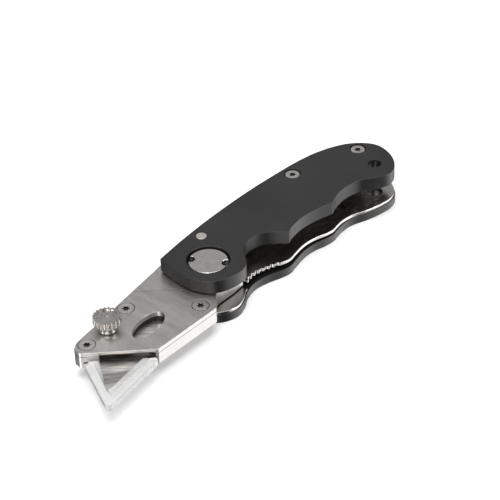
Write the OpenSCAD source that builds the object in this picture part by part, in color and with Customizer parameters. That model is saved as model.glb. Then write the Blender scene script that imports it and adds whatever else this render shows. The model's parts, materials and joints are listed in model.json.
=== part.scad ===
// Folding utility knife: two scales over steel liners, a liner lock, and a swinging head that
// carries a standard trapezoid blade. Millimetres. The knife lies on its lower scale, open:
// +X runs from the pivot to the tail, +Y to the spine, +Z up, and z = 0 is the lower scale's face.

/* [Handle] */
// Thickness of the upper scale over its liner
upper_scale_t = 4.2; // [3.6:0.1:4.6]
// Thickness of the lower scale
lower_scale_t = 3.4; // [3.2:0.1:4.0]
// Thickness of each steel liner
liner_t = 1.2; // [1.0:0.1:1.4]
// Height that the locked leaf's tip stands above its liner
leaf_lift = 3.2; // [2.6:0.1:3.6]
// Radius of the lanyard hole in the scales
lanyard_r = 2.5; // [2.0:0.1:2.8]

/* [Pivot] */
// Radius of the pivot barrel
pivot_r = 3.0; // [2.5:0.1:3.5]
// Radius of the large pivot heads
pivot_head_r = 7.25; // [6.5:0.05:7.5]
// Thickness of each pivot washer
washer_t = 0.6; // [0.4:0.1:0.7]
// Angle from the locked open knife to the closed one
fold_deg = 164; // [160:1:165]

/* [Head] */
// Thickness of the head
head_t = 6.4; // [6.2:0.1:6.8]
// Thickness of the cover plate
cover_t = 1.9; // [1.7:0.1:2.0]
// Angle between the head's spine and the handle's length
head_tilt = 7.5; // [7:0.5:8]

/* [Blade] */
// Length of the blade along its cutting edge
blade_l = 61; // [60:0.5:61]
// Width of the blade
blade_w = 19; // [18.6:0.1:19]
// Thickness of the blade
blade_t = 0.6; // [0.5:0.05:0.6]
// Length of each sloping end, measured along the blade
blade_slope = 14; // [13:0.5:14.5]
// Thickness of the clear blade guard
guard_t = 2.4; // [2.0:0.1:2.6]

/* [Thumbscrew] */
// Radius of the thumbscrew's fluted rim
knob_r = 5.2; // [4.8:0.1:5.4]
// Number of flutes round the rim
knob_flutes = 20; // [12:1:22]

/* [Hidden] */
$fn = 64;

// heights of the stack, from the lower scale's face up
liner_z = lower_scale_t;
gap_z = liner_z + liner_t;
head_z = gap_z + washer_t;
cover_z = head_z + head_t - cover_t;
head_top = head_z + head_t;
roof_z = head_top + washer_t;
upper_z = roof_z + liner_t;
top_z = upper_z + upper_scale_t;

// the origin is under the middle of the open knife
middle = [10.95, -1.42];

// running and locating clearances, and the amount by which a cut passes a face
fit = 0.05;
slip = 0.03;
over = 1;

// places seen from above, measured from the pivot
stop_xy = [9.3, 11.6];
stop_r = 2.0;
handle_screws = [[60.9, 10.8], [89.5, 1.6]];
lanyard_xy = [85.3, -9.9];
lanyard_liner_r = lanyard_r + 0.5;
// the lower liner stops this far inside its scale's outline
liner_inset = 0.3;

// skin of the lower scale left under the stop pin
stop_floor = 1.2;

// handle screws and their posts
screw_head_r = 2.75;
screw_head_t = 1.5;
screw_sink = 0.5;
screw_r = 1.25;
screw_grip = 2.8;
sink_r = 3.2;
post_r = 2.4;
// how far a shank reaches into its own head, so that the two are one solid
root = 0.5;
// six-lobed sockets: radius to a lobe's middle, before scaling, and depth
handle_lobe_r = 1.25;
head_lobe_r = 1.35;
lobe_depth = 0.9;

// pivot
pivot_sink_r = 8.1;
pivot_head_t = 2.0;
pivot_sink = 0.6;
// the screw's thinner head lies this far below its scale's face, in a sink this much above the liner
pivot_screw_sink = 0.4;
pivot_sink_floor = 1.2;
pivot_thread_r = 1.75;
// the hole for the thread goes deeper than the thread
pivot_thread_top = 8.8;
pivot_hole_top = 9.2;
notch_at = 6.7;
notch_r = 1.7;
washer_r = 7.5;

// blade layer in the head
floor_t = 1.8;
slot_z = head_z + floor_t;
slot_t = blade_t + 0.05;
blade_z = slot_z + 0.02;
blade_tip = [-70.9, -7.1];
edge_y = blade_tip[1];
back_y = edge_y + blade_w;

// head screws, countersunk
head_screws_at = [[-56.1, 13.7], [-32.4, 13.9], [-17.4, -8.1]];
sunk_r = 3.0;
sunk_t = 1.5;
sunk_shank_r = 1.5;
ring_gap = 0.25;
sunk_end = cover_z - 1.7;
line_t = 0.15;
line_depth = 0.35;
dowels_at = [[-24.6, 13.2], [-30, -9.3]];
dowel_r = 1.0;
dowel_in = 1.55;
dowel_cap = 0.65;
// room over and beside the loose blade, and round the clamp plate
blade_room = 0.15;
clamp_room = 0.05;
boss_r = 2.6;
boss_room_r = 3.0;

// window through the cover, an oval
window_at = [-36, 1.5];
window_a = 8.25;
window_b = 4.1;

// the slope under the cover's front edge: from the front corner along the edge, its top, and how
// far back it runs 1 mm below the cover
lip_start = 6.7;
lip_l = 19.8;
lip_z = head_top - 1.0;
lip_back = 1.2;

// thumbscrew
knob_at = [-45.4, 12.4];
stud_r = 1.5;
knob_washer_t = 0.5;
collar_t = 0.6;
knob_base_r = 3.6;
knob_z = head_top + knob_washer_t + collar_t;
knob_rim_t = 2.2;
flute_r = 0.55;
dish_t = 0.5;

// lock leaf: it bends about its root, where it leaves the liner
leaf_tip_x = 8.8;
leaf_root_x = 70;
leaf_angle = atan(leaf_lift / (leaf_root_x - leaf_tip_x));
slot_holes = [[34, -2.6, 1.3], [69.6, -5.2, 1.7]];
ball_xy = [12, -5.5];
ball_r = 0.8;
// how far the ball's middle lies under the leaf's upper face
ball_sunk = 0.38;

// grooves that the thumb pushes on, along the leaf's edge; their depth is from the scale's outline
tooth_count = 7;
first_tooth_x = 10.6;
tooth_pitch = 2.2;
tooth_r = 0.9;
tooth_depth = 1.0;

// the handle's spine, from its front to the tail; a third value of 1 marks a corner
SPINE = [[-10.5, 14, 1], [3, 15.5, 0], [20, 16.5, 0], [38, 16.6, 0], [54, 15.8, 0], [70, 14.2, 0],
    [82, 11, 0], [91, 5.6, 0], [95.8, -2, 0]];
// the lower side goes on round the tail, the finger grooves, the belly and the pivot
BELLY = [[94.8, -9.6, 0], [91.2, -15.4, 0], [85.8, -17.8, 0], [79.4, -17.2, 0], [73.4, -15.6, 0],
    [67.4, -13.3, 0], [62.2, -12.8, 0], [58, -13.4, 0], [55, -14, 0], [51, -13.6, 0], [45, -12.1, 0],
    [39.6, -12, 0], [34, -13, 0], [29.8, -13.9, 0], [26, -13.3, 0], [20, -11.2, 0], [13.8, -10.1, 0],
    [8, -11.4, 0], [3.5, -13.9, 0], [-1.5, -15.3, 0], [-6.8, -14, 0], [-10.8, -10.2, 0],
    [-12.4, -4, 0], [-12.2, 5, 0]];
// the upper side's grooves are deeper; it is cut back for the thumb, and its front is smaller
NOTCH = [[94.6, -9.6, 0], [90, -16, 0], [83.8, -18.6, 0], [77.8, -16, 0], [72.5, -12.3, 0],
    [65.5, -10.9, 0], [59.5, -11.7, 0], [55.3, -13.2, 1], [48, -11.2, 0], [41, -10.3, 0],
    [34.5, -11, 0], [31, -12.2, 1], [26, -6.4, 0], [21, -4, 0], [15.6, -4.2, 0], [11.8, -6.6, 0],
    [9.2, -10, 0], [6.4, -12.7, 0], [2.6, -13.9, 0], [-2, -13.4, 0], [-7, -11.5, 0], [-10.5, -7.6, 0],
    [-12.2, -2, 0], [-12, 5, 0]];
// the upper liner lies hidden in a pocket under its scale, inside this outline
NEST = [[-8.8, 12.3, 1], [3, 13.7, 0], [20, 14.7, 0], [38, 14.8, 0], [54, 14, 0], [70, 12.4, 0],
    [81.5, 9.2, 0], [89.5, 4.6, 0], [94, -2, 0], [92.8, -9, 0], [88.5, -14.3, 0], [83.8, -16.4, 0],
    [79, -14.2, 0], [73, -10.2, 0], [60, -9.2, 0], [48, -9, 0], [37, -8.6, 0], [30, -6, 0],
    [25, -2.4, 0], [20, -0.9, 0], [14, -0.8, 0], [9.5, -3, 0], [6.5, -7, 0], [2.5, -10.4, 0],
    [-2.6, -11.8, 0], [-6.6, -10.2, 0], [-9, -6.6, 0], [-10.2, -1.6, 0], [-10, 5, 0]];
// the slot that frees the leaf from its liner is this wide at its side, root and tip
slot_side = 0.45;
slot_root = 0.12;
slot_tip = 0.6;
SLOT = [[15.5, 4.6], [22, 2.4], [28, -1.2], [35, -3.6], [45, -4.8], [57, -5.4]];

// the spacer lies this far inside the upper outline; its nose stops the closed head with this gap
spacer_inset = 0.9;
stop_gap = 0.2;
stop_x = 23.5;
stop_end_x = 30;
SPACER = [[33, 11.6], [55, 9.4], [66, 7], [76, 4.5], [84, 0], [88, -1.6], [99, -1.6], [99, 30]];

// the head seen from above, in its own frame, with corner radii; the tang is in the handle's frame
HEAD_FRONT = [[-15.8, -13.75, 0.6], [-45.3, -9.2, 0.5], [-61.4, 13, 1], [-60.6, 16, 1.5],
    [-57.6, 17.5, 4]];
TANG = [[-7, 17, 6], [2, 17.2, 5], [7.2, 14.8, 1], [7.2, 10.4, 0.5], [8.7, 7, 3], [8.7, -9, 0.8],
    [3, -9.5, 3], [-5.4, -9.4, 1.5], [-7.1, -9.9, 0.5]];
head_front_a = HEAD_FRONT[2];
head_front_b = HEAD_FRONT[1];

// the seam at the cover's rear is straight, then runs round the tang
seam_top = [-31.7, 30];
seam_end = [1.9, -20];
seam_r = 13.4;
seam_gap = 0.12;

// ---- functions ----

function xy(p) = [p[0], p[1]];
function unit(v) = v / norm(v);
function turn(p, a) = [p[0] * cos(a) - p[1] * sin(a), p[0] * sin(a) + p[1] * cos(a)];

// Catmull-Rom curve through p1 and p2
function curve(p0, p1, p2, p3, t) =
    0.5 * (2 * p1 + (p2 - p0) * t + (2 * p0 - 5 * p1 + 4 * p2 - p3) * t * t
    + (3 * p1 - p0 - 3 * p2 + p3) * t * t * t);

// closed outline through points, smooth except at corners
function outline(p, steps = 6) = let (n = len(p)) [
    for (i = [0 : n - 1])
        let (p1 = p[i], p2 = p[(i + 1) % n])
        let (p0 = p1[2] == 1 ? p1 : p[(i + n - 1) % n])
        let (p3 = p2[2] == 1 ? p2 : p[(i + 2) % n])
        for (k = [0 : steps - 1])
            curve(xy(p0), xy(p1), xy(p2), xy(p3), k / steps)
];

// the same outline moved inward
function inset(p, d) = let (n = len(p)) [
    for (i = [0 : n - 1])
        let (a = unit(p[i] - p[(i + n - 1) % n]), b = unit(p[(i + 1) % n] - p[i]), t = unit(a + b))
        p[i] + d * [t[1], -t[0]] / max(0.6, (a * b + 1) / 2)
];

// arc that rounds the corner b between a and c
function corner(a, b, c, r, n = 8) =
    let (u = unit(a - b), v = unit(c - b), half = acos(u * v) / 2)
    let (m = b + unit(u + v) * r / sin(half), p = b + u * r / tan(half), q = b + v * r / tan(half))
    let (s = atan2(p[1] - m[1], p[0] - m[0]), e = atan2(q[1] - m[1], q[0] - m[0]))
    let (w = (e - s + 540) % 360 - 180)
    [for (k = [0 : n]) m + r * [cos(s + w * k / n), sin(s + w * k / n)]];

// polygon with rounded corners, from [x, y, radius]
function rounded(p) = let (n = len(p)) [
    for (i = [0 : n - 1])
        for (q = corner(xy(p[(i + n - 1) % n]), xy(p[i]), xy(p[(i + 1) % n]), max(p[i][2], 0.01)))
            q
];

function ellipse(a, b, n = 48) = [for (k = [0 : n - 1]) [a * cos(k * 360 / n), b * sin(k * 360 / n)]];

lower_line = outline(concat(SPINE, BELLY));
upper_line = outline(concat(SPINE, NOTCH));
nest_line = outline(NEST);
head_line = rounded(concat(
    [for (p = HEAD_FRONT) [turn(p, head_tilt)[0], turn(p, head_tilt)[1], p[2]]], TANG));

// the head's belly edge with the knife closed, as y for a given x
closed_a = turn(xy(HEAD_FRONT[0]), head_tilt + fold_deg);
closed_b = turn(xy(HEAD_FRONT[1]), head_tilt + fold_deg);
function closed_edge(x) =
    closed_a[1] + (x - closed_a[0]) * (closed_b[1] - closed_a[1]) / (closed_b[0] - closed_a[0]);

// the belly's outline where the leaf is grooved, as a table of y against x
groove_line = [for (i = [len(lower_line) - 1 : -1 : 0])
    if (lower_line[i][1] < 0 && lower_line[i][0] > 6 && lower_line[i][0] < 28) lower_line[i]];

// ---- frames and small shapes ----

module place() translate([-middle[0], -middle[1], 0]) children();
module head_frame() place() rotate([0, 0, head_tilt]) children();

// straight-sided plate between two heights
module plate(line, z0, z1) translate([0, 0, z0]) linear_extrude(height = z1 - z0) polygon(line);

module rod(at, r, z0, z1) translate([at[0], at[1], z0]) cylinder(h = z1 - z0, r = r);

// six-lobed socket, cut down from z
module lobes(at, r, z, depth) {
    rod(at, r * 0.72, z - depth, z + over);
    for (k = [0 : 5])
        rod(at + r * 0.78 * [cos(60 * k), sin(60 * k)], r * 0.26, z - depth, z + over);
}

// ---- handle ----

module upper_scale() color("#3a3838") place() difference() {
    plate(upper_line, roof_z, top_z);
    plate(inset(nest_line, -fit), roof_z - over, upper_z);
    rod([0, 0], pivot_r + slip, upper_z - over, top_z);
    rod([0, 0], pivot_sink_r, top_z - pivot_sink - pivot_head_t, top_z + over);
    rod(stop_xy, stop_r + slip, upper_z - over, top_z + over);
    rod(lanyard_xy, lanyard_r, upper_z - over, top_z + over);
    for (p = handle_screws) {
        rod(p, screw_r + fit, upper_z - over, top_z);
        rod(p, sink_r, top_z - screw_sink - screw_head_t, top_z + over);
    }
}

module lower_scale() color("#3a3838") place() difference() {
    plate(lower_line, 0, lower_scale_t);
    rod([0, 0], pivot_r + slip, 0, lower_scale_t + over);
    rod([0, 0], pivot_sink_r, -over, lower_scale_t - pivot_sink_floor);
    rod(stop_xy, stop_r + slip, stop_floor, lower_scale_t + over);
    rod(lanyard_xy, lanyard_r, -over, lower_scale_t + over);
    for (p = handle_screws) {
        rod(p, screw_r + fit, 0, lower_scale_t + over);
        rod(p, sink_r, -over, screw_sink + screw_head_t);
    }
}

// holes that both liners share
module liner_holes(z0, z1) {
    rod([0, 0], pivot_r + slip, z0, z1);
    rod(stop_xy, stop_r + slip, z0, z1);
    rod(lanyard_xy, lanyard_liner_r, z0, z1);
    for (p = handle_screws) rod(p, screw_r + fit, z0, z1);
}

module upper_liner() color("#b9b7b2") place() difference() {
    plate(nest_line, roof_z, upper_z);
    liner_holes(roof_z - over, upper_z + over);
}

// outline of the leaf, with its slot side moved out and its root moved back for the liner's cut
function leaf_region(side, root, tip) = concat([[leaf_tip_x - tip, -30], [leaf_tip_x - tip, 4.6 + side]],
    [for (p = SLOT) [p[0], p[1] + side]],
    [[leaf_root_x + root, -5.6 + side], [leaf_root_x + root, -30]]);

module lower_liner() color("#b9b7b2") place() difference() {
    plate(inset(lower_line, liner_inset), liner_z, gap_z);
    liner_holes(liner_z - over, gap_z + over);
    plate(leaf_region(slot_side, slot_root, slot_tip), liner_z - over, gap_z + over);
    for (p = slot_holes) rod(p, p[2], liner_z - over, gap_z + over);
}

// places the leaf's parts bent up in the locked pose
module bent() place() translate([leaf_root_x, 0, liner_z + liner_t / 2])
    rotate([0, leaf_angle, 0]) translate([-leaf_root_x, 0, -liner_z - liner_t / 2]) children();

module lock_leaf() color("#b9b7b2") bent() difference() {
    translate([0, 0, liner_z]) linear_extrude(height = liner_t) intersection() {
        polygon(inset(lower_line, liner_inset));
        polygon(leaf_region(0, 0, 0));
    }
    for (k = [0 : tooth_count - 1])
        let (x = first_tooth_x + tooth_pitch * k)
        rod([x, lookup(x, groove_line) + tooth_depth - tooth_r], tooth_r, liner_z - over, gap_z + over);
    rod(ball_xy, ball_r + slip, liner_z - over, gap_z + over);
    for (p = slot_holes) rod(p, p[2], liner_z - over, gap_z + over);
}

module detent_ball() color("#d8d6d0") bent()
    translate([ball_xy[0], ball_xy[1], gap_z - ball_sunk]) sphere(r = ball_r);

module back_spacer() color("#2b2a2a") place() difference() {
    translate([0, 0, gap_z]) linear_extrude(height = roof_z - gap_z) intersection() {
        polygon(inset(upper_line, spacer_inset));
        polygon(concat([[stop_x, 30], [stop_x, closed_edge(stop_x) + stop_gap],
            [stop_end_x, closed_edge(stop_end_x) + stop_gap]], SPACER));
    }
    for (p = handle_screws) rod(p, post_r + slip, gap_z - over, roof_z + over);
}

module spacer_posts() color("#8d8b86") place() for (p = handle_screws) difference() {
    rod(p, post_r, gap_z, roof_z);
    rod(p, screw_r + fit, gap_z - over, roof_z + over);
}

module upper_handle_screws() color("#c9c6bf") place() for (p = handle_screws) difference() {
    union() {
        rod(p, screw_head_r, top_z - screw_sink - screw_head_t, top_z - screw_sink);
        rod(p, screw_r, roof_z - screw_grip, top_z - screw_sink - screw_head_t + root);
    }
    lobes(p, handle_lobe_r, top_z - screw_sink, lobe_depth);
}

module lower_handle_screws() color("#c9c6bf") place() for (p = handle_screws) difference() {
    union() {
        rod(p, screw_head_r, screw_sink, screw_sink + screw_head_t);
        rod(p, screw_r, screw_sink + screw_head_t - root, gap_z + screw_grip);
    }
    lobes(p, handle_lobe_r, screw_sink + lobe_depth, lobe_depth + over);
}

module stop_pin() color("#cfc8bc") place() rod(stop_xy, stop_r, stop_floor, top_z);

// ---- pivot ----

// two round notches, for a pin spanner, on opposite sides of a pivot head
module spanner_notches(z0, z1)
    for (a = [-61.5, 118.5]) rod(notch_at * [cos(a), sin(a)], notch_r, z0, z1);

module pivot_barrel() color("#c6c4c0") place() difference() {
    union() {
        rod([0, 0], pivot_head_r, top_z - pivot_sink - pivot_head_t, top_z - pivot_sink);
        rod([0, 0], pivot_r, lower_scale_t - pivot_sink_floor + 4 * fit,
            top_z - pivot_sink - pivot_head_t + root);
    }
    spanner_notches(top_z - pivot_sink - pivot_head_t - over, top_z + over);
    rod([0, 0], pivot_thread_r + fit, 0, pivot_hole_top);
}

module pivot_screw() color("#c6c4c0") place() difference() {
    union() {
        rod([0, 0], pivot_head_r, pivot_screw_sink, lower_scale_t - pivot_sink_floor);
        rod([0, 0], pivot_thread_r, lower_scale_t - pivot_sink_floor - root, pivot_thread_top);
    }
    spanner_notches(-over, lower_scale_t);
}

module washer(z) color("#b08d4a") place() difference() {
    rod([0, 0], washer_r, z, z + washer_t);
    rod([0, 0], pivot_r + fit, z - over, z + washer_t + over);
}

module upper_washer() washer(head_top);
module lower_washer() washer(gap_z);

// ---- head ----

// area of the cover, with its rear seam moved by shift
module cover_area(shift) difference() {
    polygon([[-90, 30], seam_top + [shift, 0], seam_end + [shift, 0], [-90, -20]]);
    circle(r = seam_r - shift);
}

// mouth in the head's front, where the blade comes out
MOUTH = [[-61.5, 4.7], [-57.5, 7.6], [-55.9, 8.8], [-44.2, -7.3], [-45.8, -8.5], [-49.9, -11.4]];
// room over the blade for the clamp plate
CLAMP_ROOM = [[-55.9, 8.8], [-53, 10.9], [-21, 10.9], [-15.5, 2.5], [-15, -5.6], [-42.5, -5.6],
    [-44.2, -7.3]];
CLAMP = [[-49.8, 10.4], [-21.2, 10.4], [-15.9, 2.4], [-15.4, -5.2], [-38.4, -5.2]];

module head_base() color("#aeaca8") difference() {
    place() plate(head_line, head_z, head_top);
    place() rod([0, 0], pivot_r + fit, head_z - over, head_top + over);
    head_frame() {
        translate([0, 0, cover_z]) linear_extrude(height = cover_t + over) cover_area(seam_gap);
        plate(MOUTH, slot_z, head_top);
        plate(CLAMP_ROOM, slot_z, head_top);
        rod(knob_at, boss_room_r, slot_z + slot_t, head_top);
        plate([[-90, back_y + blade_room],
            [blade_tip[0] + blade_l - blade_slope + 2 * blade_room, back_y + blade_room],
            [blade_tip[0] + blade_l + 2.5 * blade_room, edge_y - blade_room],
            [-90, edge_y - blade_room]], slot_z, slot_z + slot_t);
        for (p = head_screws_at) rod(p, sunk_shank_r + fit, sunk_end - fit, head_top);
        for (p = dowels_at) rod(p, dowel_r + slip, cover_z - dowel_in - fit, head_top);
    }
}

module head_cover() color("#b4b2ae") difference() {
    intersection() {
        place() plate(head_line, cover_z, head_top);
        head_frame() translate([0, 0, cover_z]) linear_extrude(height = cover_t) cover_area(0);
    }
    // shadow line round the joint with the base
    place() difference() {
        plate(head_line, cover_z - over, cover_z + line_t);
        plate(inset(head_line, line_depth), cover_z - 2 * over, cover_z + over);
    }
    head_frame() {
        translate([window_at[0], window_at[1], 0])
            plate(ellipse(window_a, window_b), cover_z - over, head_top + over);
        for (p = head_screws_at) {
            rod(p, sunk_shank_r + 0.1, cover_z - over, head_top + over);
            translate([p[0], p[1], head_top - sunk_t - 0.1])
                cylinder(h = sunk_t + 0.1, r1 = sunk_shank_r + 0.1, r2 = sunk_r + ring_gap);
        }
        for (p = dowels_at) rod(p, dowel_r + slip, cover_z - over, head_top - dowel_cap + fit);
        rod(knob_at, stud_r + fit, cover_z - over, head_top + over);
        // the edge over the mouth slopes back underneath
        translate([head_front_a[0], head_front_a[1], 0])
            rotate([0, 0, atan2(head_front_b[1] - head_front_a[1], head_front_b[0] - head_front_a[0])])
            translate([lip_start, 0, 0]) rotate([90, 0, 90]) linear_extrude(height = lip_l)
            polygon([[-over, lip_z], [0, lip_z], [lip_back, cover_z - over], [-over, cover_z - over]]);
    }
}

module head_screws() color("#c9c6bf") head_frame() for (p = head_screws_at) difference() {
    union() {
        translate([p[0], p[1], head_top - sunk_t]) cylinder(h = sunk_t, r1 = sunk_shank_r, r2 = sunk_r);
        rod(p, sunk_shank_r, sunk_end, head_top - sunk_t + 0.3);
    }
    lobes(p, head_lobe_r, head_top, lobe_depth);
}

module dowel_pins() color("#8d8b86") head_frame()
    for (p = dowels_at) rod(p, dowel_r, cover_z - dowel_in, head_top - dowel_cap);

module clamp_plate() color("#8d8b86") head_frame() difference() {
    union() {
        plate(CLAMP, slot_z + slot_t + clamp_room, cover_z - clamp_room);
        rod(knob_at, boss_r, slot_z + slot_t + clamp_room, cover_z - clamp_room);
    }
    translate([window_at[0], window_at[1], 0])
        plate(ellipse(window_a + 0.2, window_b + 0.2), slot_z, cover_z + over);
}

module blade() color("#c8c9ca") head_frame() difference() {
    plate([blade_tip, [blade_tip[0] + blade_slope, back_y],
        [blade_tip[0] + blade_l - blade_slope, back_y], [blade_tip[0] + blade_l, edge_y]],
        blade_z, blade_z + blade_t);
    for (x = [knob_at[0], knob_at[0] + 10])
        translate([x - 1.5, back_y - 2.5, blade_z - over]) cube([3, 4, blade_t + 2 * over]);
    // both faces are ground to the cutting edge
    for (s = [0, 1]) translate([-90, edge_y, blade_z + blade_t / 2]) mirror([0, 0, s])
        translate([0, 0, 0.02]) rotate([8, 0, 0]) translate([0, -3, 0]) cube([90, 6, 2]);
}

module blade_guard() color("#e8eef2", 0.5) head_frame() difference() {
    plate(rounded([[-62.8, 10, 1.2], [-77.3, -10.4, 1.5], [-47.4, -10.4, 1.5], [-46.2, -9, 0.5],
        [-60, 10, 1]]), blade_z + blade_t / 2 - guard_t / 2, blade_z + blade_t / 2 + guard_t / 2);
    plate(rounded([[-57.6, 8.2, 0.3], [-69.8, -5, 1], [-40, -5, 0.3]]), head_z, head_top);
    plate([[blade_tip[0] - 0.2, edge_y - 0.15], [blade_tip[0] + blade_slope - 0.2, back_y + 0.15],
        [-30, back_y + 0.15], [-30, edge_y - 0.15]], blade_z - 0.08, blade_z + blade_t + 0.08);
}

// ---- thumbscrew ----

module ring(at, r, hole, z0, z1) difference() {
    rod(at, r, z0, z1);
    rod(at, hole, z0 - over, z1 + over);
}

module knob_washer() color("#77756f") head_frame()
    ring(knob_at, knob_base_r, stud_r + fit, head_top, head_top + knob_washer_t);

module knob_collar() color("#c9c6bf") head_frame()
    ring(knob_at, knob_base_r, stud_r + fit, head_top + knob_washer_t, knob_z);

module thumb_knob() color("#b9b7b2") head_frame() difference() {
    union() {
        rod(knob_at, knob_base_r - 0.2, knob_z, knob_z + 0.8);
        translate([knob_at[0], knob_at[1], knob_z + 0.6])
            cylinder(h = top_z - knob_rim_t - knob_z - 0.6, r1 = knob_base_r, r2 = knob_r);
        rod(knob_at, knob_r, top_z - knob_rim_t, top_z);
    }
    for (k = [0 : knob_flutes - 1])
        rod(knob_at + (knob_r + 0.1) * [cos(k * 360 / knob_flutes), sin(k * 360 / knob_flutes)],
            flute_r, knob_z - over, top_z + over);
    rod(knob_at, knob_r - 1.2, top_z - dish_t, top_z + over);
    rod(knob_at, 0.8, top_z - dish_t - 0.4, top_z + over);
    rod(knob_at, stud_r + slip, knob_z - over, top_z - 1.6);
}

module clamp_stud() color("#8d8b86") head_frame() rod(knob_at, stud_r, cover_z - 0.02, top_z - 1.7);

upper_scale();
lower_scale();
upper_liner();
lower_liner();
lock_leaf();
detent_ball();
back_spacer();
spacer_posts();
upper_handle_screws();
lower_handle_screws();
stop_pin();
pivot_barrel();
pivot_screw();
upper_washer();
lower_washer();
head_base();
head_cover();
head_screws();
dowel_pins();
clamp_plate();
blade();
blade_guard();
knob_washer();
knob_collar();
thumb_knob();
clamp_stud();
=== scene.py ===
"""Looks for a folding utility knife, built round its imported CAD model. Metres, in the CAD frame."""
import json
import math

import bmesh
import bpy
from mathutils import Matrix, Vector


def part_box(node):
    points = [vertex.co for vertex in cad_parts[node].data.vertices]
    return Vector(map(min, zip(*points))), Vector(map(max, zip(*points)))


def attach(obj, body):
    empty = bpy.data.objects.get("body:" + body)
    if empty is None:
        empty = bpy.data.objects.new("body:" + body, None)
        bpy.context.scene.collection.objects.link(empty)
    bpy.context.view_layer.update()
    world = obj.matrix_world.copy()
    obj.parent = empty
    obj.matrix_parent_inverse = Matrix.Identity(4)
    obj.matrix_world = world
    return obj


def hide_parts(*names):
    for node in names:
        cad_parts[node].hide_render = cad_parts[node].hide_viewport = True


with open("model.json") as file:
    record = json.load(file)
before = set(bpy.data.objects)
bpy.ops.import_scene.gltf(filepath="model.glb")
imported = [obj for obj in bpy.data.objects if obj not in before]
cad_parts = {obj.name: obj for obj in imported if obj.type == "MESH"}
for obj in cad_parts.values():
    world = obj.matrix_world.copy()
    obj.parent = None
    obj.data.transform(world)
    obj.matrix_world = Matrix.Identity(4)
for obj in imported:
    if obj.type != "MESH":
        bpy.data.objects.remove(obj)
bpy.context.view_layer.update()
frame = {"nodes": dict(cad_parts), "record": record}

MM = 0.001
# points closer than this are one point, and faces flatter than this to each other are one face
WELD = 0.002 * MM
FLAT = math.radians(0.2)
# edges sharper than this are rounded over
SHARP = math.radians(30)
# a face deeper than this under a screw's end is in a socket or a countersink
PIT_DEPTH = 0.12 * MM
# where the noise that makes a tone mostly lies
TONE_RANGE = (0.36, 0.64)

NODES = frame["nodes"]
BODY_OF = {n: b for b, ns in frame["record"]["behaviour"]["bodies"].items() for n in ns}


# ---- camera, floor and light ----

def link(obj):
    bpy.context.scene.collection.objects.link(obj)
    return obj


def set_camera():
    data = bpy.data.cameras.new("camera")
    data.lens = 151.74
    data.sensor_width = 36
    data.clip_start = 0.01
    cam = link(bpy.data.objects.new("camera", data))
    cam.location = (-0.45372, -0.41781, 0.47648)
    cam.rotation_euler = [math.radians(a) for a in (53.2126, 1.9565, -49.4623)]
    bpy.context.scene.camera = cam


def area_light(name, at, aim, size, power, obj=None, state="EXCLUDE"):
    """A soft light. With obj, it either leaves that object out or lights nothing else."""
    data = bpy.data.lights.new(name, "AREA")
    data.shape = "RECTANGLE"
    data.size, data.size_y = size
    data.energy = power
    lamp = link(bpy.data.objects.new(name, data))
    lamp.location = at
    lamp.rotation_euler = (Vector(aim) - Vector(at)).to_track_quat("-Z", "Y").to_euler()
    if obj:
        group = bpy.data.collections.new(name + "_receivers")
        group.objects.link(obj)
        group.collection_objects[0].light_linking.link_state = state
        lamp.light_linking.receiver_collection = group
    return data


def make_floor(half=2.5):
    mesh = bpy.data.meshes.new("floor")
    corners = [(-half, -half, 0), (half, -half, 0), (half, half, 0), (-half, half, 0)]
    mesh.from_pydata(corners, [], [(0, 1, 2, 3)])
    floor = link(bpy.data.objects.new("floor", mesh))
    mat, bsdf, _ = material("floor_white")
    bsdf.inputs["Base Color"].default_value = (0.92, 0.92, 0.92, 1)
    bsdf.inputs["Roughness"].default_value = 0.9
    mesh.materials.append(mat)
    # reflections pass through the floor to the panels of set_room
    floor.visible_glossy = False
    return floor


def set_stage():
    floor = make_floor()
    set_room()
    ground, knife = (0, 0, 0), (0, 0, 0.01)
    area_light("overhead", (0.0, 0.0, 1.3), ground, (1.1, 1.1), 13)
    area_light("left", (-0.95, 0.20, 0.16), knife, (0.25, 0.5), 5.5, floor)
    area_light("right", (0.26, -0.95, 0.16), knife, (0.3, 0.6), 7, floor)
    area_light("front", (-0.85, -0.45, 0.85), knife, (0.5, 0.5), 5, floor)
    # this one keeps the floor white, and casts no shadow on it
    wash = area_light("floor_wash", (0.2, 0.2, 1.6), ground, (1.6, 1.6), 18, floor, "INCLUDE")
    wash.use_shadow = False
    bpy.context.scene.view_settings.view_transform = "Standard"


def facing(tree, direction, to):
    return add(tree, "ShaderNodeVectorMath", {0: direction, 1: to},
               operation="DOT_PRODUCT").outputs["Value"]


def set_room():
    """A pale room, dark toward its front left corner. Below the floor's level, which only
    reflections reach, two pale panels stand to the left and right of the knife."""
    dark_corner = (-0.70, -0.63, 0.33)
    panels = (((-0.85, 0.05, -0.52), 7.5), ((0.68, -0.50, -0.53), 5.2))
    world = bpy.data.worlds.new("world")
    world.use_nodes = True
    tree = world.node_tree
    direction = add(tree, "ShaderNodeTexCoord").outputs["Generated"]
    height = add(tree, "ShaderNodeSeparateXYZ", {0: direction}).outputs["Z"]
    corner = spread(tree, facing(tree, direction, dark_corner), 1.0, 0.12, (0.35, 0.85))
    light = maths(tree, "MULTIPLY", corner, spread(tree, height, 0.08, 1.0, (-0.12, 0.05)))
    for panel, level in panels:
        patch = spread(tree, facing(tree, direction, panel), 0, level, (0.72, 0.97))
        below = spread(tree, height, 1, 0, (-0.1, 0.05))
        light = maths(tree, "ADD", light, maths(tree, "MULTIPLY", patch, below))
    background = tree.nodes["Background"].inputs
    tree.links.new(light, background["Strength"])
    background["Color"].default_value = (0.38, 0.38, 0.38, 1)
    bpy.context.scene.world = world


# ---- shader nodes ----

def material(name):
    mat = bpy.data.materials.new(name)
    mat.use_nodes = True
    tree = mat.node_tree
    return mat, tree.nodes["Principled BSDF"], tree


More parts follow.
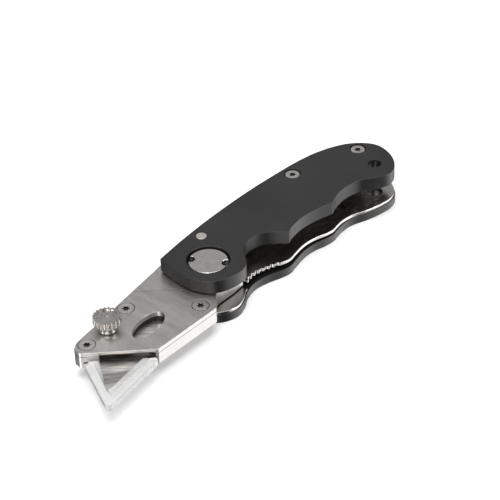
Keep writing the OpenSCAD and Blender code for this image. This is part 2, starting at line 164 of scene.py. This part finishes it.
def fill(tree, socket, value):
    """Links value to a socket if it is a socket itself, and else sets it."""
    if isinstance(value, bpy.types.NodeSocket):
        tree.links.new(value, socket)
    else:
        socket.default_value = value


def add(tree, kind, values=None, **settings):
    node = tree.nodes.new(kind)
    for key, value in settings.items():
        setattr(node, key, value)
    for key, value in (values or {}).items():
        fill(tree, node.inputs[key], value)
    return node


def scaled(tree, vector, scale):
    return add(tree, "ShaderNodeVectorMath", {0: vector, 1: scale}, operation="MULTIPLY").outputs[0]


def place(tree, scale, offset=(0, 0, 0)):
    """Object coordinates, moved by offset and then scaled, per metre."""
    here = add(tree, "ShaderNodeTexCoord").outputs["Object"]
    moved = add(tree, "ShaderNodeVectorMath", {0: here, 1: offset}, operation="ADD").outputs[0]
    return scaled(tree, moved, scale)


def noise(tree, vector, scale, detail, roughness):
    values = {"Vector": vector, "Scale": scale, "Detail": detail, "Roughness": roughness}
    return add(tree, "ShaderNodeTexNoise", values).outputs["Fac"]


def spread(tree, value, low, high, source=(0.3, 0.7)):
    """value, which mostly lies in source, spread over low to high."""
    values = {"Value": value, "From Min": source[0], "From Max": source[1],
              "To Min": low, "To Max": high}
    return add(tree, "ShaderNodeMapRange", values).outputs["Result"]


def mixed(tree, factor, a, b):
    node = add(tree, "ShaderNodeMix", data_type="RGBA")
    fill(tree, node.inputs[0], factor)
    for key, colour in ((6, a), (7, b)):
        plain = not isinstance(colour, bpy.types.NodeSocket)
        fill(tree, node.inputs[key], (*colour, 1) if plain else colour)
    return node.outputs[2]


def bump(tree, height, distance, strength=1.0):
    values = {"Height": height, "Distance": distance, "Strength": strength}
    return add(tree, "ShaderNodeBump", values).outputs[0]


def maths(tree, operation, a, b):
    return add(tree, "ShaderNodeMath", {0: a, 1: b}, operation=operation).outputs[0]


def weighted(tree, *parts):
    """Sum of values times their weights."""
    total = None
    for value, weight in parts:
        part = maths(tree, "MULTIPLY", value, weight)
        total = part if total is None else maths(tree, "ADD", total, part)
    return total


def shade_metal(tree, bsdf, tone, light, dark, roughness, metal=1):
    """Colour and roughness that follow one tone; roughness is its lowest and highest."""
    colour = mixed(tree, spread(tree, tone, 0, 1, TONE_RANGE), dark, light)
    fill(tree, bsdf.inputs["Base Color"], colour)
    fill(tree, bsdf.inputs["Roughness"], spread(tree, tone, *roughness, TONE_RANGE))
    bsdf.inputs["Metallic"].default_value = metal


# ---- materials ----

def brushed(name, light, dark, grain, roughness, spin=0, metal=1):
    """Steel ground in one direction: streaks are short along grain's large numbers, in coordinates
    turned by spin degrees about Z."""
    mat, bsdf, tree = material(name)
    here = add(tree, "ShaderNodeTexCoord").outputs["Object"]
    spun = add(tree, "ShaderNodeVectorRotate", {"Vector": here, "Angle": math.radians(spin)},
               rotation_type="Z_AXIS").outputs[0]
    along = scaled(tree, spun, grain)
    fine = noise(tree, along, 1, 4, 0.6)
    broad = noise(tree, along, 0.12, 2, 0.5)
    cloud = noise(tree, place(tree, (60, 60, 60)), 1, 3, 0.5)
    tone = weighted(tree, (fine, 0.5), (broad, 0.3), (cloud, 0.2))
    shade_metal(tree, bsdf, tone, light, dark, (roughness - 0.07, roughness + 0.07), metal)
    fill(tree, bsdf.inputs["Normal"], bump(tree, fine, 4e-6))
    return mat


def anodised(name):
    """Black bead-blasted aluminium, a little paler where it has been handled."""
    mat, bsdf, tree = material(name)
    blast = noise(tree, place(tree, (9000, 9000, 9000)), 1, 2, 0.7)
    cloud = noise(tree, place(tree, (45, 45, 45)), 1, 4, 0.6)
    scratch = noise(tree, place(tree, (300, 5200, 2500), (0.01, 0, 0)), 1, 2, 0.5)
    scratched = spread(tree, scratch, 0, 1, (0.62, 0.78))
    rubbed = maths(tree, "MULTIPLY", scratched, spread(tree, cloud, 0, 0.5))
    black, worn, bare = (0.005, 0.0046, 0.0044), (0.009, 0.0084, 0.0081), (0.034, 0.033, 0.032)
    colour = mixed(tree, spread(tree, cloud, 0, 1), black, worn)
    fill(tree, bsdf.inputs["Base Color"], mixed(tree, rubbed, colour, bare))
    fill(tree, bsdf.inputs["Roughness"], spread(tree, cloud, 0.38, 0.46))
    fill(tree, bsdf.inputs["Normal"], bump(tree, blast, 6e-6, 0.6))
    bsdf.inputs["Specular IOR Level"].default_value = 0.68
    return mat


def turned(name, node, light, dark, roughness):
    """Metal turned on a lathe about the vertical axis through node's middle: fine rings on top,
    plain round the side."""
    mat, bsdf, tree = material(name)
    low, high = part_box(node)
    middle = (low + high) / 2
    around = place(tree, (1000, 1000, 0), (-middle[0], -middle[1], 0))
    radius = add(tree, "ShaderNodeVectorMath", {0: around}, operation="LENGTH").outputs["Value"]
    line = add(tree, "ShaderNodeCombineXYZ", {0: maths(tree, "MULTIPLY", radius, 4.5)}).outputs[0]
    rings = noise(tree, line, 1, 3, 0.6)
    cloud = noise(tree, place(tree, (350, 350, 350)), 1, 3, 0.6)
    tone = weighted(tree, (rings, 0.6), (cloud, 0.4))
    shade_metal(tree, bsdf, tone, light, dark, (roughness - 0.06, roughness + 0.08))
    fill(tree, bsdf.inputs["Normal"], bump(tree, rings, 12e-6, 0.7))
    return mat


def clear_plastic(name):
    mat, bsdf, tree = material(name)
    bsdf.inputs["Base Color"].default_value = (1, 1, 1, 1)
    bsdf.inputs["Transmission Weight"].default_value = 0.76
    bsdf.inputs["IOR"].default_value = 1.49
    wave = noise(tree, place(tree, (220, 220, 220)), 1, 2, 0.5)
    fill(tree, bsdf.inputs["Roughness"], spread(tree, wave, 0.10, 0.24))
    fill(tree, bsdf.inputs["Normal"], bump(tree, wave, 60e-6, 0.5))
    return mat


# ---- pieces ----

def islands(bm):
    """Faces of each separate solid."""
    left = set(bm.faces)
    while left:
        group, todo = set(), [next(iter(left))]
        while todo:
            face = todo.pop()
            if face not in group:
                group.add(face)
                todo.extend(f for e in face.edges for f in e.link_faces if f not in group)
        left -= group
        yield group


def solid_spans(node):
    """Middle, lowest and highest point of each separate solid of a node."""
    bm = bmesh.new()
    bm.from_mesh(NODES[node].data)
    bmesh.ops.remove_doubles(bm, verts=bm.verts, dist=WELD)
    spans = []
    for group in islands(bm):
        points = [v.co for f in group for v in f.verts]
        low = [min(p[k] for p in points) for k in range(3)]
        high = [max(p[k] for p in points) for k in range(3)]
        spans.append(((low[0] + high[0]) / 2, (low[1] + high[1]) / 2, low[2], high[2]))
    bm.free()
    return sorted(spans)


def in_pit(face, spans, radius, facing_up=True):
    """Whether a face lies near a screw's axis and deeper than the screw's outer end."""
    x, y, z = face.calc_center_median()
    for cx, cy, low, high in spans:
        depth = high - z if facing_up else z - low
        if math.hypot(x - cx, y - cy) < radius and depth > PIT_DEPTH:
            return True
    return False


def soften(node, mat, width, segments, pits):
    """A copy of a CAD node with its sharp edges rounded over by width. Faces in pits, which are
    screws, a radius and a side, get a near-black material: painted shade for the dark insides of
    sockets and countersink gaps."""
    mesh = NODES[node].data.copy()
    piece = link(bpy.data.objects.new(node + "_rounded", mesh))
    bm = bmesh.new()
    bm.from_mesh(mesh)
    bmesh.ops.remove_doubles(bm, verts=bm.verts, dist=WELD)
    bmesh.ops.dissolve_limit(bm, angle_limit=FLAT, verts=bm.verts, edges=bm.edges)
    for face in bm.faces:
        face.smooth = True
        # faces in screw sockets and countersink gaps take the near-black painted-shade material
        face.material_index = 1 if pits and in_pit(face, *pits) else 0
    mesh.materials.clear()
    bm.to_mesh(mesh)
    bm.free()
    mesh.materials.append(mat)
    if pits:
        mesh.materials.append(PIT_SHADE_PAINT)
    mesh.set_sharp_from_angle(angle=SHARP)
    edge = piece.modifiers.new("edge", "BEVEL")
    edge.limit_method = "ANGLE"
    edge.angle_limit = SHARP
    edge.width = width
    edge.segments = segments
    edge.use_clamp_overlap = True
    shade = piece.modifiers.new("shade", "WEIGHTED_NORMAL")
    shade.keep_sharp = True
    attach(piece, BODY_OF[node])
    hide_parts(node)


def dress(node, mat):
    obj = NODES[node]
    if not obj.material_slots:
        obj.data.materials.append(mat)
    for s in obj.material_slots:
        s.material = mat


set_camera()
set_stage()

# each metal's light tone, dark tone, grain and roughness
BLACK = anodised("anodised_black")
HEAD = brushed("ground_steel_head", (0.63, 0.61, 0.595), (0.49, 0.475, 0.46),
               (4200, 330, 330), 0.36)
COVER = brushed("ground_steel_cover", (0.64, 0.62, 0.605), (0.50, 0.485, 0.47),
                (4200, 330, 330), 0.35)
LINER = brushed("liner_steel_plate", (0.66, 0.64, 0.61), (0.50, 0.48, 0.46),
                (600, 4200, 600), 0.22)
LEAF = brushed("leaf_spring_steel", (0.68, 0.66, 0.63), (0.50, 0.48, 0.46),
               (600, 4200, 600), 0.18)
BLADE = brushed("blade_ground_steel", (0.86, 0.84, 0.82), (0.16, 0.15, 0.14),
                (110, 1300, 110), 0.36, spin=46)
# the clamp plate's near-black tone is painted shade, standing in for the dark cavity seen under the
# cover's window
CLAMP_SHADE_BLACK = brushed("clamp_painted_shade_black", (0.07, 0.068, 0.065), (0.04, 0.039, 0.038),
                (1500, 1500, 1500), 0.5)
PIVOT = turned("pivot_polished_steel", "pivot_barrel",
               (0.80, 0.78, 0.76), (0.66, 0.64, 0.62), 0.2)
KNOB = turned("knob_turned_steel", "thumb_knob",
              (0.66, 0.64, 0.61), (0.45, 0.43, 0.41), 0.26)
SCREW = brushed("screw_steel_satin", (0.72, 0.70, 0.67), (0.58, 0.56, 0.54),
                (2500, 2500, 2500), 0.33)
PIN = brushed("pin_bare_steel", (0.76, 0.73, 0.69), (0.64, 0.61, 0.57),
              (2500, 2500, 2500), 0.4)
BRONZE = turned("washer_bronze", "upper_washer",
                (0.60, 0.42, 0.20), (0.42, 0.28, 0.13), 0.34)
DARK = turned("washer_oxide", "thumb_knob",
              (0.16, 0.155, 0.15), (0.08, 0.078, 0.075), 0.45)
SPACER = brushed("spacer_nylon", (0.03, 0.03, 0.03), (0.02, 0.02, 0.02),
                 (1200, 1200, 1200), 0.5, metal=0)
CLEAR = clear_plastic("guard_clear_plastic")
# near-black paint put in screw sockets and countersink gaps as painted shade
PIT_SHADE_PAINT = brushed("socket_painted_shade", (0.018, 0.017, 0.016), (0.008, 0.008, 0.008),
                (900, 900, 900), 0.6, metal=0)

HEAD_SCREWS = solid_spans("head_screws")
PITS = {
    "head_cover": (HEAD_SCREWS, 3.4 * MM),
    "head_screws": (HEAD_SCREWS, 1.5 * MM),
    "upper_handle_screws": (solid_spans("upper_handle_screws"), 1.4 * MM),
    "lower_handle_screws": (solid_spans("lower_handle_screws"), 1.4 * MM, False),
}

# node, material, width of the rounded edge in millimetres, steps across it
for node, mat, width, segments in (
        ("upper_scale", BLACK, 0.5, 3), ("lower_scale", BLACK, 0.5, 3),
        ("upper_liner", LINER, 0.12, 2), ("lower_liner", LINER, 0.12, 2),
        ("lock_leaf", LEAF, 0.12, 2), ("back_spacer", SPACER, 0.15, 2),
        ("head_base", HEAD, 0.12, 2), ("head_cover", COVER, 0.12, 2),
        ("head_screws", SCREW, 0.08, 2), ("upper_handle_screws", SCREW, 0.15, 2),
        ("lower_handle_screws", SCREW, 0.15, 2), ("stop_pin", PIN, 0.1, 2),
        ("pivot_barrel", PIVOT, 0.15, 2), ("pivot_screw", PIVOT, 0.15, 2),
        ("thumb_knob", KNOB, 0.06, 1), ("knob_collar", KNOB, 0.1, 2),
        ("knob_washer", DARK, 0.08, 2), ("blade", BLADE, 0.02, 1),
        ("blade_guard", CLEAR, 0.25, 3), ("clamp_plate", CLAMP_SHADE_BLACK, 0.15, 2)):
    soften(node, mat, width * MM, segments, PITS.get(node))

for node, mat in (("detent_ball", PIVOT), ("spacer_posts", SCREW), ("upper_washer", BRONZE),
                  ("lower_washer", BRONZE), ("dowel_pins", PIN), ("clamp_stud", KNOB)):
    dress(node, mat)
